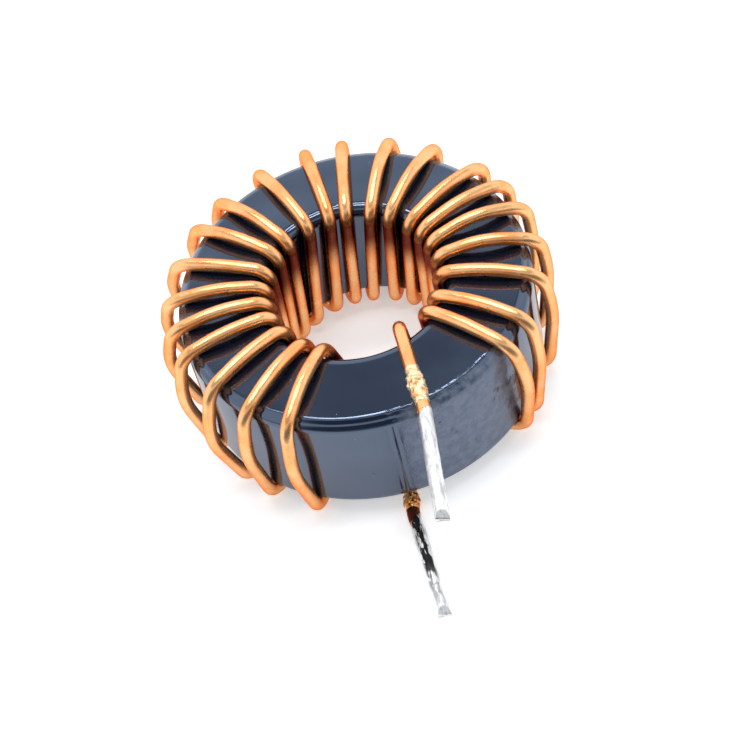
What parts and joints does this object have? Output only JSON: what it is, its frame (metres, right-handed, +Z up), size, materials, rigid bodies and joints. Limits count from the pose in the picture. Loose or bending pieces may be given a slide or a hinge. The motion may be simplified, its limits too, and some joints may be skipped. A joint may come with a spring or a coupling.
{
  "type": "toroidal inductor",
  "caption": "Toroidal power inductor: thick enamelled copper wire wound on a coated ring core, both ends led out to one side and tinned for soldering.",
  "frame": {"origin": "on the core's axis, at the surface that the winding rests on", "axes": "+Z up along the core's axis, both leads point towards -Y, +X to the right of the leads seen from the front"},
  "size_m": [0.0383, 0.049, 0.0158],
  "materials": {
    "core_coating": "gloss",
    "enamelled_copper": "gloss",
    "solder": "satin",
    "burnt_flux": "gloss"
  },
  "bodies": {
    "root": {"core": "core_coating", "winding": "enamelled_copper", "top_lead_tinning": "solder", "bottom_lead_tinning": "solder", "top_flux_crust": "burnt_flux", "bottom_flux_crust": "burnt_flux"}
  },
  "joints": []
}
